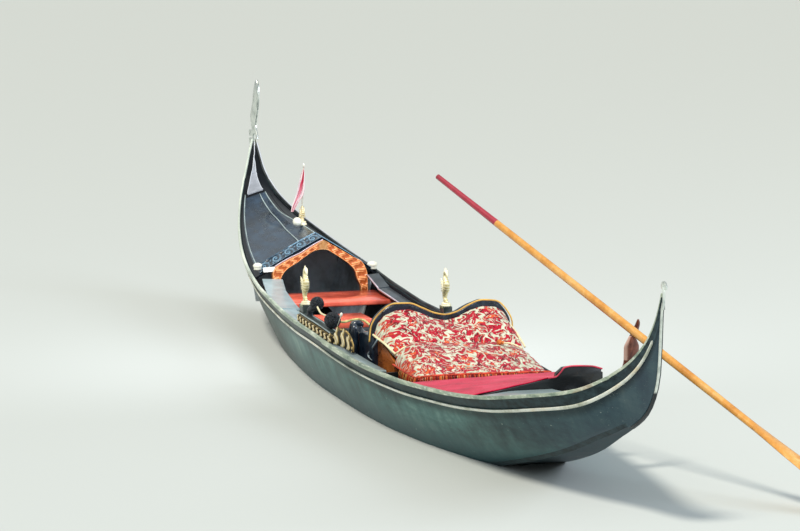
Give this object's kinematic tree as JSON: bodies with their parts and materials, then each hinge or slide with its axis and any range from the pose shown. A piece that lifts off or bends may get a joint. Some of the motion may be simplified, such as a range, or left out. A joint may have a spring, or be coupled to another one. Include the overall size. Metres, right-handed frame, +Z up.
{
  "type": "gondola boat",
  "caption": "Flat-bottomed black rowing boat with raised ends, an iron comb at the bow, a decked front with a carved arch, a damask sofa and one long oar.",
  "frame": {"origin": "on the outer face of the flat bottom, under the middle of the hull; the water reaches z = 0.22 m", "axes": "+X to the bow, +Y to port, +Z up"},
  "size_m": [10.7235, 2.2226, 2.102],
  "materials": {
    "black": "gloss black paint",
    "board": "gloss blue-grey",
    "carpet": "red pile",
    "carved": "carved, blue-black",
    "cloth": "red and white cloth",
    "damask": "red and cream damask",
    "deck": "gloss blue-black paint",
    "floor": "dark boards",
    "gilt": "gilded",
    "iron": "polished iron",
    "leather": "blue-black",
    "oar": "varnished",
    "oarRed": "dark red paint",
    "orange": "carved, varnished",
    "red": "red cloth",
    "ridge": "grey paint",
    "walnut": "oiled walnut",
    "worn": "worn black paint over bare wood"
  },
  "bodies": {
    "boat": {"hull_bottom": "black", "side_port": "black", "side_starboard": "black", "stern_stem": "black", "bow_stem": "black", "gunwale_port": "worn", "gunwale_starboard": "worn", "wale_port": "worn", "wale_starboard": "worn", "ferro": "iron", "stern_iron": "iron", "foredeck": "deck", "foredeck_ridge": "ridge", "bow_plate": "board", "foredeck_moulding": "carved", "arch_frame": "orange", "afterdeck": "black", "rowing_platform": "black", "carpet": "carpet", "frame_aft": "black", "frame_fore": "black", "floorboards": "floor", "bench_fore": "red", "stool_frame": "floor", "stool_seat": "red", "side_board_port": "board", "side_board_starboard": "board", "sofa_base": "leather", "sofa_cushion": "damask", "sofa_arm_port": "leather", "sofa_arm_starboard": "leather", "sofa_back": "leather", "sofa_cover": "damask", "sofa_cheek_port": "orange", "sofa_cheek_starboard": "orange", "low_cover": "damask", "armchair_starboard": "leather", "armchair_starboard_cushion": "leather", "gilded_panel_port": "gilt", "armrest_port": "leather", "seahorse_port": "gilt", "gilded_panel_starboard": "gilt", "armrest_starboard": "leather", "seahorse_starboard": "gilt", "pompon_fore": "leather", "pompon_aft": "leather", "bow_ornament": "gilt", "flag_pole": "ridge", "flag": "cloth", "forcola": "walnut"},
    "oar": {"oar_shaft": "oar", "oar_handle": "oarRed", "oar_blade": "oar"}
  },
  "joints": [
    {"name": "oar_stroke", "type": "hinge", "parent": "boat", "child": "oar", "pos_m": [-3.68, -0.43, 1.12], "axis": [0, 0, 1], "range_deg": [-15, 60]}
  ]
}
